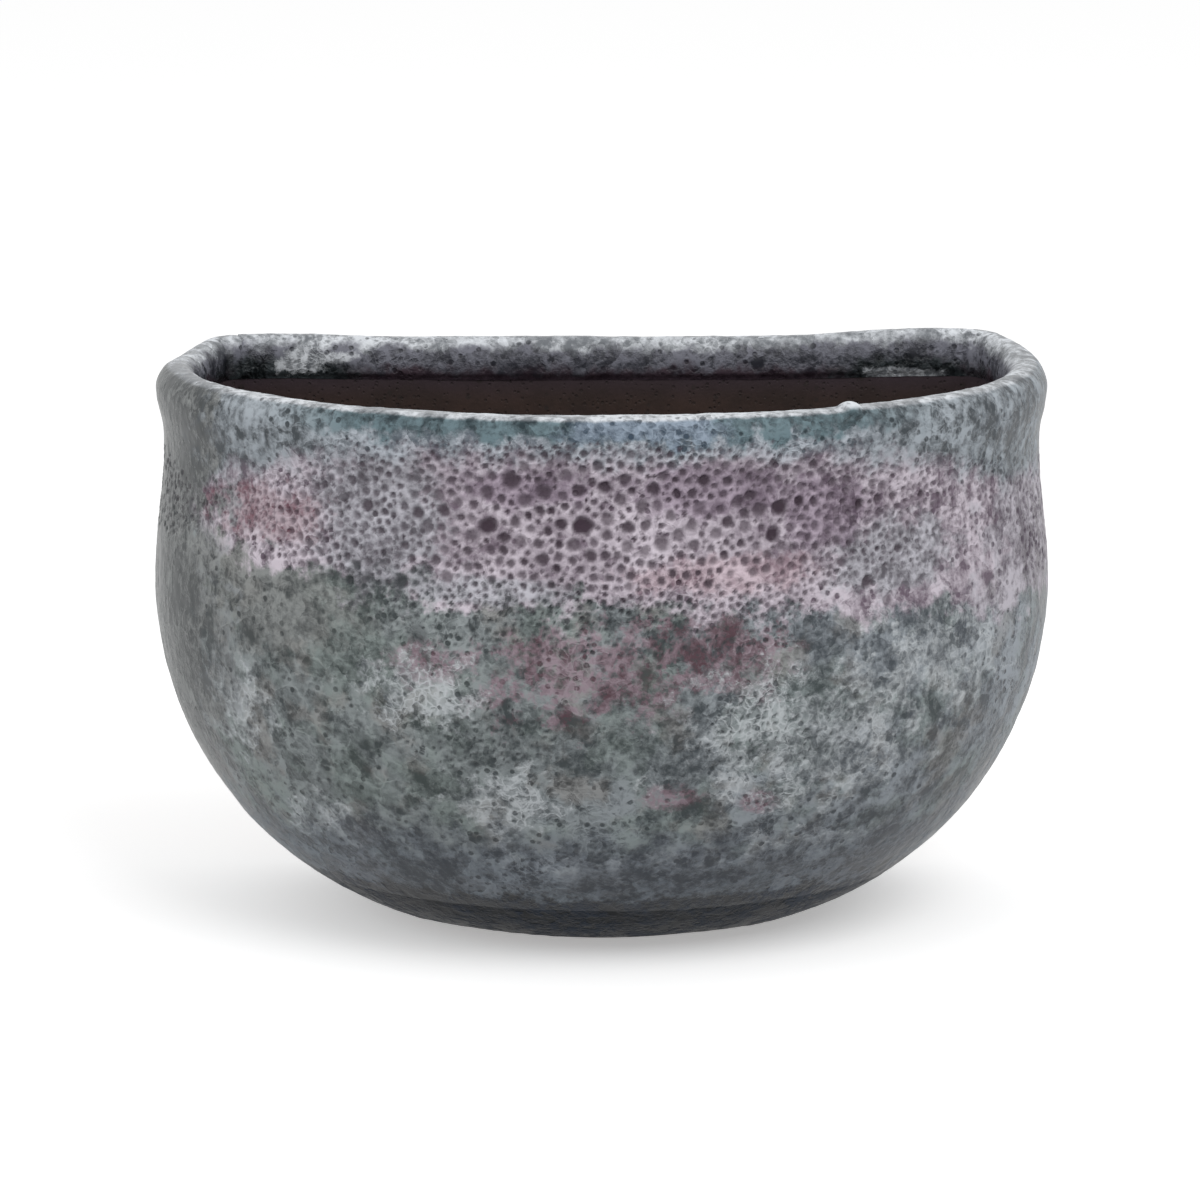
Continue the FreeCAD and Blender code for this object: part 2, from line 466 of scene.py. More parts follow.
# %% Directions square to the surface
def square_to(places, front_columns, back_columns=0):
    """Normals of the smooth glazed surface at every row and column."""
    nudge = 0.2 * mm
    up = rings(stations(places + nudge), front_columns, back_columns)
    down = rings(stations(places - nudge), front_columns, back_columns)
    points = rings(stations(places), front_columns, back_columns)
    if back_columns:
        after, before = np.roll(points, -1, axis=1), np.roll(points, 1, axis=1)
    else:
        after = np.concatenate([points[:, 1:], points[:, -1:]], axis=1)
        before = np.concatenate([points[:, :1], points[:, :-1]], axis=1)
    normals = np.cross(after - before, up - down)
    return points, normals / np.linalg.norm(normals, axis=2, keepdims=True)


neck_normals = square_to(np.array([place_of(neck_height)]), 2)[1]
print("at the neck the front faces", neck_normals[0, 1].round(2))


# %% [markdown]
# ## Rows, columns and numbers on the mesh
#
# A coat keeps its points as a table: rows up the line, columns round the pot. What the sculpting finds out
# about a point, such as how deep in a pit it lies, is kept on the mesh for the finish to read.

# %% Numbers kept on the mesh
def places_of(mesh):
    """The places of a mesh's vertices as rows of three numbers."""
    values = np.zeros(len(mesh.vertices) * 3, dtype=np.float32)
    mesh.vertices.foreach_get("co", values)
    return values.reshape(-1, 3)


def put(mesh, name, values):
    """Keeps a number for every vertex on the mesh, for the finish to read."""
    layer = mesh.attributes.new(name, "FLOAT", "POINT")
    layer.data.foreach_set("value", np.ascontiguousarray(values, dtype=np.float32).ravel())


front_columns = 840
back_columns = 470


class Coat:
    """One coat between two places of the line, as rows and columns of points with their normals."""

    def __init__(self, name, start, end, rows, under_rows, whole=False):
        self.name = name
        self.whole = whole
        self.back_columns = back_columns if whole else 0
        self.places = np.linspace(start, end, rows + 1)
        self.points, self.normals = square_to(self.places, front_columns, self.back_columns)
        self.under_places = np.linspace(end, start, under_rows + 1)
        points, normals = square_to(self.under_places, front_columns, self.back_columns)
        self.underside = points - normals * glaze
        print(name, "has", self.points.shape[0], "rows of", self.points.shape[1])


coats = {
    "slate": Coat("slate_coat", place_of(foot_edge), place_of(slate_top), 16, 3),
    "bowl": Coat("bowl_coat", place_of(slate_top), place_of(belt_low), 110, 6),
    "belt": Coat("crater_belt", place_of(belt_low), place_of(lip_low), 86, 5),
    "lip": Coat("lip_coat", place_of(lip_low), line_length[-1], 60, 10, whole=True),
}

# %% [markdown]
# ## Craters
#
# Gas bubbles burst through the thick glaze while it was still soft, and left round pits with thin pale
# walls between them. The widest ones lie in the middle of the belt; towards the sides they shrink to
# pinholes. Pits are thrown like darts, the widest first, and a dart that lands on another pit is thrown
# away, which gives the close packing of real bubbles.

# %% Where the craters lie
crater_beds = [  # middle x and z, half width and height, least and greatest radius (all mm), darts
    (-6, 11, 58, 15, 1.6, 2.6, 60),
    (-46, 27, 44, 2.4, 0.8, 1.3, 26),
    (-78, 2, 26, 18, 0.9, 1.8, 110),
    (-98, -5, 18, 8, 0.6, 1.2, 60),
    (2, 8, 92, 22, 1.1, 1.8, 330),
    (0, 5, 114, 27, 0.6, 1.1, 1300),
    (-104, 3, 26, 12, 0.5, 0.95, 260),
    (106, 4, 30, 17, 0.45, 0.9, 240),
    (0, 29, 96, 4, 0.45, 0.8, 110),
    (-4, -24, 78, 12, 0.5, 1.0, 260),
    (52, -62, 32, 13, 0.45, 0.9, 120),
    (-40, -62, 26, 12, 0.45, 0.9, 90),
    (-146, 0, 14, 13, 0.5, 1.1, 260),
    (146, -8, 14, 19, 0.5, 1.2, 380),
]
big_craters = [  # x, z, radius in mm and how dark its bottom is: the ones that catch the eye
    (-28.5, 20.5, 3.3, 0.9), (-35.5, 5.5, 3.3, 1.0), (-6, 6, 3.7, 1.0), (-18, 17, 2.9, 0.8),
    (-18.5, -4.5, 2.4, 0.9), (-74, 9.5, 2.4, 0.8), (-57.5, 8.5, 2.5, 0.85), (56, 10.5, 3.0, 1.0),
    (53.5, 2, 2.6, 1.0), (62, 12, 2.0, 1.0), (39.5, 7, 2.2, 0.9), (32, 20, 2.4, 0.95),
    (12.5, 12, 2.4, 0.8), (19, 1, 3.0, 0.75), (81.5, 10, 1.9, 1.0), (94, -6, 1.6, 0.8),
    (102, 10.5, 1.5, 0.9), (1, 18.5, 2.6, 0.9), (-63, -13.5, 2.7, 0.9), (-80, -14.5, 1.9, 0.9),
    (-58, -30.5, 3.9, 0.45), (-49, -11, 2.3, 0.7), (84, -15.5, 2.4, 0.9), (76, -8.5, 2.0, 0.8),
    (91, -22, 2.2, 0.5), (80, -52.5, 1.9, 0.6), (65, -26.5, 1.8, 0.5),
]
blisters = [(-108.5, -9.5, 6.6), (-87, -61.5, 5.5), (-124, -70, 6.0), (-46, -50.5, 5.0), (-89, -22, 5.0),
            (73, -86.5, 5.5), (-60, -88, 4.6), (100, -60, 5.0), (30, -98, 5.2), (-20, -96, 5.4)]
bead_place = Vector((78, -142, 39.5)) * mm
dice = random.Random(11)
crest_place = line_length[line[:, HEIGHT].argmax()]
outside = coats["lip"].points[coats["lip"].places < crest_place - 3 * mm, :front_columns]
ground = np.concatenate([coats["bowl"].points.reshape(-1, 3), coats["belt"].points.reshape(-1, 3),
                         outside.reshape(-1, 3)])
front = ground[ground[:, 1] < -wall_depth + 10 * mm]


def on_ground(x, z):
    """The point of the pot's front at a given x and z in mm."""
    return front[np.hypot(front[:, 0] - x * mm, front[:, 2] - z * mm).argmin()]


def scatter_craters():
    """Centres, radii and darkness of the pits, none of them on another."""
    centres, radii, depths = np.zeros((4000, 3)), np.zeros(4000), np.zeros(4000)
    count = 0
    for x, z, radius, dark in big_craters:
        centres[count], radii[count], depths[count] = on_ground(x, z), radius * mm, dark
        count += 1
    for x, z, wide, high, least, greatest, darts in crater_beds:
        away = ((ground[:, 0] / mm - x) / wide) ** 2 + ((ground[:, 2] / mm - z) / high) ** 2
        bed = ground[away < 1]
        spans = sorted((dice.uniform(least, greatest) * mm for dart in range(darts)), reverse=True)
        for span in spans:
            for attempt in range(10):
                spot = bed[dice.randrange(len(bed))]
                crowd = 0.12 + 0.8 * max(0.0, noise.noise(Vector(spot) / (16 * mm)) - 0.08)
                gaps = np.linalg.norm(centres[:count] - spot, axis=1) - radii[:count]
                if gaps.min() > span + crowd * mm:
                    centres[count], radii[count] = spot, span
                    middle = max(0.0, 1 - abs(spot[0] + 5 * mm) / (110 * mm))
                    depths[count] = dice.uniform(0.6, 1.0) * (0.6 + 0.4 * middle ** 0.7)
                    count += 1
                    break
    return centres[:count], radii[:count], depths[:count]


crater_centres, crater_radii, crater_depths = scatter_craters()
print(len(crater_radii), "craters")


# %% [markdown]
# ## Sculpting the outer face
#
# Every point of the outer face moves along its normal: in for a pit, out for its wall, a blister or the
# bead on the crest, and a little both ways for waves and crust. The coat thins towards its free edges, as
# glaze does where it was wiped.

# %% Sculpting the outer face
pit_depth_share = 0.62      # of a pit's radius
deepest_pit = 1.15 * mm
pit_wall_rise = 0.12 * mm
blister_rise = 0.45 * mm
bead_half_size = (4.6 * mm, 3.6 * mm, 3.0 * mm)
bead_rise = 2.2 * mm
wave_size, wave_height = 34 * mm, 0.35 * mm
crust_size, crust_height = 4.5 * mm, 0.16 * mm
edge_glaze = 0.35 * mm      # what is left of the glaze's thickness at a free edge
edge_run = 2.5 * mm
rim_lifts = (               # middle x and y, half width and depth, lift, all in mm
    (114, -12, 40, 26, 3.1), (-108, -12, 22, 20, 1.3), (-144, -28, 12, 22, -1.9))


def smooth_step(value):
    value = np.clip(value, 0.0, 1.0)
    return value * value * (3 - 2 * value)


def lumps(points, size, octaves=2):
    """Soft noise, about -1 to 1, with lumps of a given size."""
    return np.array([noise.fractal(Vector(point) / size, 1.0, 2.0, octaves) for point in points])


def craters(points):
    """How dark each point is as part of a crater, 0 to 1, how far it is pushed in or out, and how much it is
    lightened: near the ring of a burst blister, and on the bead, which is partly thick glaze and partly painted
    highlight."""
    tree = KDTree(len(points))
    for number, point in enumerate(points):
        tree.insert(point, number)
    tree.balance()
    darkness = np.zeros(len(points))
    push = np.zeros(len(points))
    ring_and_bead_highlight = np.zeros(len(points))
    low, high = points[:, 2].min() - 6 * mm, points[:, 2].max() + 6 * mm
    for centre, radius, dark in zip(crater_centres, crater_radii, crater_depths):
        if not low < centre[2] < high:
            continue
        depth = min(pit_depth_share * radius, deepest_pit) * (0.5 + 0.5 * dark)
        for place, number, distance in tree.find_range(centre, radius * 1.5):
            wobble = 1 + 0.32 * noise.noise(Vector(place) / (1.1 * radius)) \
                + 0.22 * noise.noise(Vector(place) / (0.5 * radius))
            share = distance / radius * wobble
            if share < 1:
                darkness[number] = max(darkness[number], dark * min(1.0, (1 - share) * 2.3) ** 0.8)
                push[number] = min(push[number], -depth * (1 - share ** 4))
            elif push[number] >= 0:
                push[number] = max(push[number], pit_wall_rise * (1.5 - share) * 2)
    for x, z, radius in blisters:
        centre = on_ground(x, z)
        if not low < centre[2] < high:
            continue
        for place, number, distance in tree.find_range(centre, radius * mm * 1.5):
            share = distance / (radius * mm) * (1 + 0.25 * noise.noise(Vector(place) / (4 * mm)))
            push[number] += blister_rise * max(0.0, 1 - share ** 3)
            ring_and_bead_highlight[number] = max(ring_and_bead_highlight[number], math.exp(-((share - 0.95) / 0.16) ** 2))
    for place, number, distance in tree.find_range(bead_place, 8 * mm):  # a run of glaze left on the crest
        gap = Vector(place) - bead_place
        share = math.hypot(*(side / half for side, half in zip(gap, bead_half_size)))
        push[number] += bead_rise * max(0.0, 1 - share ** 2)
        # the bead is also made pale through this value: partly thick glaze, partly painted highlight
        ring_and_bead_highlight[number] = max(ring_and_bead_highlight[number], min(1.6, 3.2 * (1 - share)))
    return darkness, push, ring_and_bead_highlight


def rim_warp(points):
    """How far the rim is out of level: it rises to its back corners and dips at the left side."""
    height = smooth_step((points[:, 2] - (neck_height + floor_z)) / (crest_z - floor_z - neck_height))
    x, y = points[:, 0] / mm, points[:, 1] / mm
    rise = np.zeros(len(points))
    for middle_x, middle_y, wide, deep, lift in rim_lifts:
        rise += lift * mm * np.exp(-((x - middle_x) / wide) ** 2 - ((y - middle_y) / deep) ** 2)
    return rise * height


def edge_fall(distance):
    """The coat thins to its edge."""
    return -(glaze - edge_glaze) * (1 - smooth_step(distance / edge_run))


def sculpt(coat):
    """The coat's outer points, moved, with the darkness of the craters and the lightening of the blisters'
    rings and of the bead, there partly painted highlight.
    """
    rows, columns = coat.points.shape[:2]
    points = coat.points.reshape(-1, 3)
    normals = coat.normals.reshape(-1, 3)
    darkness, push, ring_and_bead_highlight = craters(points)
    waves = lumps(points, wave_size) * wave_height
    crust = lumps(points, crust_size) * crust_height
    side = np.minimum(np.arange(columns), front_columns - np.arange(columns)).clip(0) * 0.6 * mm
    fall = np.tile(edge_fall(side), (rows, 1))
    if coat.whole:
        fall[:, front_columns:] = 0
    if coat.name == "slate_coat":
        fall = np.minimum(fall, edge_fall(coat.places - coat.places[0])[:, None])
    if coat.name == "lip_coat":
        fall = np.minimum(fall, edge_fall(coat.places[-1] - coat.places)[:, None])
    moved = points + normals * (push + waves + crust + fall.ravel())[:, None]
    moved[:, 2] += rim_warp(points)
    return moved.reshape(coat.points.shape), darkness.reshape(rows, columns), ring_and_bead_highlight.reshape(rows, columns)


# %% [markdown]
# ## Building the coats
#
# The flat sheet is placed by its row and column numbers, welded along its seam and closed at its ends. The
# lip's coat goes all the way round; what would lie on the wall behind the rim is cut away.

# %% Building the coats
def notch_row(places):
    """The first row whose back lies in front of the coat's edge."""
    table = stations(places)
    reach = table[:, BACK]
    crest = table[:, HEIGHT].argmax()
    return next(row for row in range(len(places)) if row >= crest or reach[row] <= coat_y)


def build_coat(coat):
    outer_rows, columns = coat.points.shape[:2]
    rows = outer_rows + len(coat.under_places)
    around = columns if coat.whole else columns - 1
    bm = bmesh.new()
    bmesh.ops.create_grid(bm, x_segments=around, y_segments=rows, size=0.5)
    mesh = bpy.data.meshes.new(coat.name)
    bm.to_mesh(mesh)
    flat = places_of(mesh)
    row = np.rint((flat[:, 1] + 0.5) * rows).astype(int) % rows
    column = np.rint((flat[:, 0] + 0.5) * around).astype(int) % columns

    moved, darkness, ring_and_bead_highlight = sculpt(coat)
    underside = coat.underside.reshape(-1, 3)
    underside[:, 2] += rim_warp(underside)
    places = np.concatenate([moved, underside.reshape(coat.underside.shape)])
    bare = np.zeros(coat.underside.shape[:2])
    down = np.concatenate([coat.places, coat.under_places]) - crest_place
    mesh.vertices.foreach_set("co", places[row, column].ravel())
    put(mesh, "pit", np.concatenate([darkness, bare])[row, column])
    put(mesh, "blister_ring_and_bead_highlight", np.concatenate([ring_and_bead_highlight, bare])[row, column])
    put(mesh, "down_inside", (down / mm)[row])

    bm.clear()
    bm.from_mesh(mesh)
    bm.verts.ensure_lookup_table()
    row_layer, column_layer = bm.verts.layers.int.new("row"), bm.verts.layers.int.new("column")
    for vert, vert_row, vert_column in zip(bm.verts, row.tolist(), column.tolist()):
        vert[row_layer], vert[column_layer] = vert_row, vert_column
    bmesh.ops.remove_doubles(bm, verts=bm.verts, dist=0.0005 * mm)
    if coat.whole:  # the coat stops short of the wall: what lies behind that on the outside goes
        top = notch_row(coat.places)
        under_top = rows - 1 - notch_row(coat.under_places[::-1])
        behind = []
        for face in bm.faces:
            face_rows = [vert[row_layer] for vert in face.verts]
            if min(vert[column_layer] or columns for vert in face.verts) >= front_columns:
                if max(face_rows) <= top or min(face_rows) >= under_top or set(face_rows) == {0, rows - 1}:
                    behind.append(face)
        bmesh.ops.delete(bm, geom=behind, context="FACES")
    ends = [edge for edge in bm.edges if edge.is_boundary]
    caps = bmesh.ops.holes_fill(bm, edges=ends, sides=0)["faces"]
    bmesh.ops.recalc_face_normals(bm, faces=bm.faces)
    for face in bm.faces:
        face.smooth = True
    for edge in bm.edges:
        edge_rows = [vert[row_layer] for vert in edge.verts]
        edge.smooth = edge_rows != [0, 0] and edge_rows != [outer_rows - 1, outer_rows - 1]
    for face in caps:
        for edge in face.edges:
            edge.smooth = False
    bm.to_mesh(mesh)
    bm.free()
    triangles = sum(len(face.vertices) - 2 for face in mesh.polygons)
    print(coat.name, len(mesh.vertices), "vertices", triangles, "triangles")
    return in_scene(coat.name, mesh)


pieces = {key: build_coat(coat) for key, coat in coats.items()}
for key in pieces:
    node = key + "_glaze"
    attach(pieces[key], "root")
    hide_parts(node)

# %% [markdown]
# ## The clay ring under the lip
#
# The rim went slightly out of level as the pot dried, and its clay has to follow its glaze, or it would
# show through at the corners. A copy of the rim's clay stands in for it, bent by the same amounts.

# %% The clay ring under the lip
def follow_the_rim(node):
    """A welded copy of a clay member, with its long edges split, and out of level like the lip on it."""
    bm = bmesh.new()
    bm.from_mesh(node.data)
    bm.transform(node.matrix_world)
    bmesh.ops.remove_doubles(bm, verts=bm.verts, dist=0.001 * mm)
    for turn in range(3):
        long_edges = [edge for edge in bm.edges if edge.calc_length() > 5 * mm]
        bmesh.ops.subdivide_edges(bm, edges=long_edges, cuts=1)
    bmesh.ops.triangulate(bm, faces=bm.faces)
    shifts = rim_warp(np.array([vert.co for vert in bm.verts]))
    for vert, shift in zip(bm.verts, shifts):
        vert.co.z += shift
    bmesh.ops.recalc_face_normals(bm, faces=bm.faces)
    for edge in bm.edges:
        edge.smooth = edge.calc_face_angle(0) < math.radians(25)
    for face in bm.faces:
        face.smooth = True
    mesh = bpy.data.meshes.new("clay_rim")
    bm.to_mesh(mesh)
    bm.free()
    print("clay_rim", len(mesh.polygons), "triangles")
    return in_scene("clay_rim", mesh)


clay_rim = follow_the_rim(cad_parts["rim_coil"])
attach(clay_rim, "root")
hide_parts("rim_coil")

# %% [markdown]
# ## The fired finish
#
# One glaze changed its colour with its thickness and the heat, so the four coats share one recipe. It is
# worked out from the place on the pot, so the pattern runs on across the joints. Three patterns are used
# again and again: ragged patches, pinholes and scales of crust. Each is a node group.

# %% Patterns in the glaze
patch_group, ins, outs = new_group("patch", {"Vector": "Vector", "Centre": "Vector", "Size": "Vector",
                                             "Ragged": "Float"}, {"Mask": "Float"})
away = vector_calc("DIVIDE", vector_calc("SUBTRACT", ins["Vector"], ins["Centre"]), ins["Size"])
fray = minus(clouds(ins["Vector"], 110, 7, 0.72), 0.5)
distance = plus(vector_calc("LENGTH", away), times(fray, ins["Ragged"]))
feed(outs["Mask"], ramp(distance, 1.15, 0.6))

pinhole_group, ins, outs = new_group("pinholes", {"Vector": "Vector", "Scale": "Float", "Radius": "Float",
                                                  "Share": "Float"}, {"Mask": "Float"})


def cells(vector, scale):
    """The distance to a cell's middle, and a tone from 0 to 1 that is the same all over a cell."""
    found = add("ShaderNodeTexVoronoi", {}, {"Vector": vector, "Scale": scale}).outputs
    tone = add("ShaderNodeSeparateColor", {}, {"Color": found["Color"]}).outputs["Red"]
    return found["Distance"], tone


distance, tone = cells(ins["Vector"], ins["Scale"])
chosen = calc("LESS_THAN", tone, ins["Share"])
round_spot = ramp(distance, ins["Radius"], times(ins["Radius"], 0.5))
feed(outs["Mask"], times(round_spot, chosen))

# scales of crust: each cell has its own tone, and a pale seam runs round it
scale_group, ins, outs = new_group("scales", {"Vector": "Vector", "Scale": "Float", "Width": "Float"},
                                   {"Tone": "Float", "Seam": "Float"})
drift = add("ShaderNodeTexNoise", {}, {"Vector": ins["Vector"], "Scale": 110, "Detail": 3})
drift = vector_calc("SUBTRACT", drift.outputs["Color"], (0.5, 0.5, 0.5))
bent = vector_calc("ADD", ins["Vector"], vector_calc("MULTIPLY", drift, (0.012, 0.012, 0.012)))
tone = cells(bent, ins["Scale"])[1]
edge = add("ShaderNodeTexVoronoi", {"feature": "DISTANCE_TO_EDGE"}, {"Vector": bent, "Scale": ins["Scale"]})
feed(outs["Tone"], minus(tone, 0.5))
feed(outs["Seam"], ramp(edge.outputs["Distance"], ins["Width"], 0.0))
print("patterns:", ", ".join(group.name for group in bpy.data.node_groups))

# %% [markdown]
# ## Tones
#
# Each part of the glaze has a dark tone, where it ran thin, and a light one, where it lay thick. A few of
# the tones are painted highlight, painted light or painted shade, as marked below. A picture could hold them,
# but a short list of tones and a grain between them stays sharp from near by.

# %% Tones of the glaze
tones = {  # dark and light tone of each part of the glaze
    # bowl_right is lighter than bowl_left: painted light from the right, besides a bluer glaze
    "bowl_left": ((52, 60, 62), (150, 157, 158)),
    "bowl_right": ((64, 71, 78), (164, 171, 178)),
    "belt": ((106, 91, 105), (218, 208, 218)),
    "plum": ((84, 68, 84), (176, 160, 176)),
    "pink_belt": ((122, 94, 106), (220, 200, 209)),
    "grey_belt": ((90, 89, 95), (196, 196, 204)),
    "lip": ((60, 67, 72), (172, 180, 187)),
    "teal": ((12, 36, 42), (90, 116, 123)),
    # painted light: lighter tones for the middle of the lip's front
    "lip_front_painted_light": ((92, 104, 114), (202, 208, 217)),
    # crest: painted highlight along the top of the rim's crest
    "crest": ((112, 116, 121), (224, 228, 233)),
    "blue": ((54, 70, 86), (148, 162, 178)),
    "navy": ((46, 53, 63), (132, 140, 150)),
    "rose": ((82, 56, 65), (156, 140, 149)),
    "rosy_belt": ((122, 78, 90), (190, 172, 180)),
    "pale": ((100, 106, 110), (208, 213, 216)),
    "slate": ((2, 6, 12), (46, 54, 66)),
    "stain": ((42, 33, 40), (62, 50, 58)),
    "olive": ((62, 66, 66), (142, 144, 142)),
    "inner_lip": ((44, 45, 52), (118, 119, 129)),
    # deep: painted shade for the mouth's two back corners
    "deep": ((14, 18, 20), (52, 58, 61)),
    "green": ((54, 66, 62), (142, 155, 150)),
    "warm": ((72, 70, 68), (154, 151, 148)),
}
print(len(tones), "parts of the glaze have their own tones")

# %% [markdown]
# ## Mottling
#
# The glaze is mottled at every scale, from hand-wide clouds to sand. Soft noises of several sizes make the
# clouds, a stretched one makes the runs, and cells make the scales, seams and pinholes.

# %% Noises and cells
glaze_group, ins, outs = new_group("fired_glaze", {"Vector": "Vector", "Pit": "Float", "Ring and bead highlight": "Float",
                                                   "Inside": "Float"},
                                   {"Color": "Color", "Relief": "Float", "Gloss": "Float"})
tree = glaze_group
place = ins["Vector"]
axes = add("ShaderNodeSeparateXYZ", {}, {"Vector": place}).outputs
x, y, z = axes["X"], axes["Y"], axes["Z"]
across = calc("ABSOLUTE", x)

broad = minus(clouds(place, 24, 3, 0.55), 0.5)
middle = minus(clouds(place, 115, 5, 0.62), 0.5)
fine = minus(clouds(place, 420, 3, 0.65), 0.5)
flow = minus(clouds(vector_calc("MULTIPLY", place, (1, 1, 0.22)), 210, 4, 0.6), 0.5)
large_scales = use(scale_group, {"Vector": place, "Scale": 130, "Width": 0.13})
small_scales = use(scale_group, {"Vector": place, "Scale": 330, "Width": 0.2})
holes = use(pinhole_group, {"Vector": place, "Scale": 350, "Radius": 0.42, "Share": 0.4})["Mask"]
blots = use(pinhole_group, {"Vector": place, "Scale": 170, "Radius": 0.5, "Share": 0.28})["Mask"]
print(len(tree.nodes), "nodes for the mottling")

# %% [markdown]
# ## Washes over the bowl
#
# The parts are laid over one another like washes, each through a mask. The bowl comes first, cooler and
# lighter on its right, where the lightness is painted light from the right, with greenish and warm clouds, and
# then the places where the glaze turned rose, olive or pale.

# %% Washes over the bowl
# lighter and bluer to the right: the lightness is painted light from the right, the blue is the glaze's own
right = ramp(plus(x, times(broad, 0.12)), -0.06, 0.12)
dark, light = (mixed(right, srgb(*tones["bowl_left"][tone]), srgb(*tones["bowl_right"][tone]))
               for tone in (0, 1))


def lay(mask, name, share=None):
    """Lays one part's tones over the ones below, where the mask says, and no denser than share."""
    global dark, light
    if share:
        mask = times(mask, share)
    dark = mixed(mask, dark, srgb(*tones[name][0]))
    light = mixed(mask, light, srgb(*tones[name][1]))


lay(ramp(clouds(place, 42, 4, 0.6), 0.44, 0.60, 0.0, 0.55), "green")
lay(ramp(clouds(vector_calc("ADD", place, (1, 2, 3)), 48, 4, 0.6), 0.50, 0.62, 0.0, 0.6), "warm")


def patch_mask(middle_place, reach, ragged):
    return use(patch_group, {"Vector": place, "Centre": tuple(v * mm for v in middle_place),
                             "Size": tuple(v * mm for v in reach), "Ragged": ragged})["Mask"]


patches = [  # tones, middle (x, y, z), reach (x, y, z) in mm, raggedness
    ("olive", (-106, -128, -24), (42, 44, 19), 2.0),
    ("rose", (-4, -165, -41), (33, 40, 16), 4.6),
    ("rose", (38, -163, -35), (22, 40, 14), 5.2),
    ("rose", (-56, -157, -39), (14, 30, 8), 3.0),
    ("rose", (50, -150, -86), (7, 20, 5), 2.2),
    ("rose", (24, -157, -83), (10, 20, 5), 2.6),
    ("pale", (66, -150, -64), (38, 42, 24), 5.0),
    ("pale", (-121, -112, -64), (19, 34, 15), 4.6),
    ("pale", (-60, -157, -48), (17, 30, 12), 5.0),
    ("pale", (-32, -150, -86), (16, 30, 11), 5.0),
    ("pale", (-94, -135, -100), (16, 30, 9), 5.0),
    ("pale", (4, -140, -109), (34, 36, 6), 4.6),
    ("pale", (72, -130, -106), (22, 36, 8), 5.0),
    ("pale", (108, -122, -42), (20, 38, 18), 5.0),
]
lacy = plus(times(small_scales["Seam"], 0.5), 0.5)
pale = 0.0
speckle = {"rose": ramp(fine, -0.09, 0.03, 0.35, 1.0), "pale": lacy, "olive": 0.75}
for name, middle_place, reach, ragged in patches:
    mask = times(patch_mask(middle_place, reach, ragged), speckle[name])
    if name == "pale":
        mask = times(mask, 0.8)
    lay(mask, name)
    if name == "pale":
        pale = calc("MAXIMUM", pale, mask)
print(len(patches), "patches on the bowl")

# %% [markdown]
# ## Belt, lip and foot
#
# A second glaze was poured over the first from the rim. Where both lie it boiled into the pale crust, and
# over the rim it ran off smooth. A wandering height decides where each band ends.

# %% Belt, lip and foot
# the belt's lower edge rises to the left, and its upper edge drops at both sides, by drop_depth at drop_x
belt_slope, belt_edge, lip_edge = -0.085, 0.0185, 0.0300
drop_x, drop_depth = 0.13, 0.021
wander = plus(times(broad, 0.02), times(middle, 0.05))
low_edge = minus(times(x, belt_slope), belt_edge)
drop = calc("DIVIDE", across, drop_x, clamp=True)
drop = times(calc("POWER", drop, 4.0), drop_depth)
high_edge = minus(lip_edge, drop)
height = plus(z, times(wander, 0.4))
belt = ramp(minus(plus(z, wander), low_edge), -0.005, 0.005)
lip = ramp(minus(height, high_edge), -0.006, 0.004)
lay(belt, "belt")
for name, middle_place, reach, ragged in (
        ("grey_belt", (-70, -148, 6), (26, 40, 26), 2.4), ("grey_belt", (-34, -158, -15), (26, 40, 5), 2.0),
        ("grey_belt", (92, -140, -8), (26, 40, 14), 2.4), ("plum", (34, -160, 17), (30, 40, 9), 2.2),
        ("plum", (-26, -160, 18), (24, 40, 7), 2.6), ("plum", (70, -150, 8), (18, 40, 12), 2.6),
        ("pink_belt", (38, -158, -10), (34, 40, 7), 2.4), ("rosy_belt", (-108, -122, 4), (26, 40, 10), 2.4)):
    lay(patch_mask(middle_place, reach, ragged), name, 0.85)
lay(lip, "lip")
# painted light: the middle of the lip's front is made lighter
lay(times(lip, ramp(across, 0.1, 0.06)), "lip_front_painted_light", 0.8)
# at the pot's far sides, where it turns away, the tones change, and in the grain below these sides are pulled
# darker: painted shade
side_tint_and_shade = ramp(plus(across, times(middle, 0.06)), 0.119, 0.131)
side_tint_and_shade = times(side_tint_and_shade, ramp(y, -0.035, -0.060))
side_tint_and_shade = times(side_tint_and_shade, ramp(x, -0.05, 0.05, 0.85, 0.35))
lay(side_tint_and_shade, "bowl_right")
left = ramp(x, -0.11, -0.125)
lay(times(side_tint_and_shade, left), "olive")
band = times(ramp(height, 0.0315, 0.0355), ramp(across, 0.112, 0.075))
lay(band, "teal", 0.9)
lay(times(band, patch_mask((14, -160, 35), (28, 40, 20), 1.5)), "blue")
# painted highlight: the crest's top and its inner rounding get the pale crest tone
lay(ramp(plus(ins["Inside"], times(middle, 3.0)), -3.0, -1.4), "crest")
lay(ramp(plus(z, wander), -0.088, -0.112, 0.0, 0.8), "navy")
lay(ramp(plus(z, times(middle, 0.02)), -0.121, -0.1245), "slate")
print("the belt's lower edge falls", round(-300 * belt_slope), "mm from left to right")

# %% [markdown]
# ## Inside the mouth
#
# The glaze darkens as it runs down inside and ends in a brown stain. The two back corners get painted shade,
# and white smears that are partly pale glaze and partly painted highlight. How far down a point lies is read
# off the mesh.

# %% Inside the mouth
down = plus(ins["Inside"], times(middle, 16.0))
lay(ramp(down, 6.5, 11.0), "inner_lip")
lay(ramp(down, 14.0, 18.5), "stain")
# painted shade in the two back corners inside the mouth
for corner_x in (-108, 104):
    lay(times(patch_mask((corner_x, -16, 27), (28, 16, 9), 1.6), ramp(down, 4.0, 8.0)), "deep")
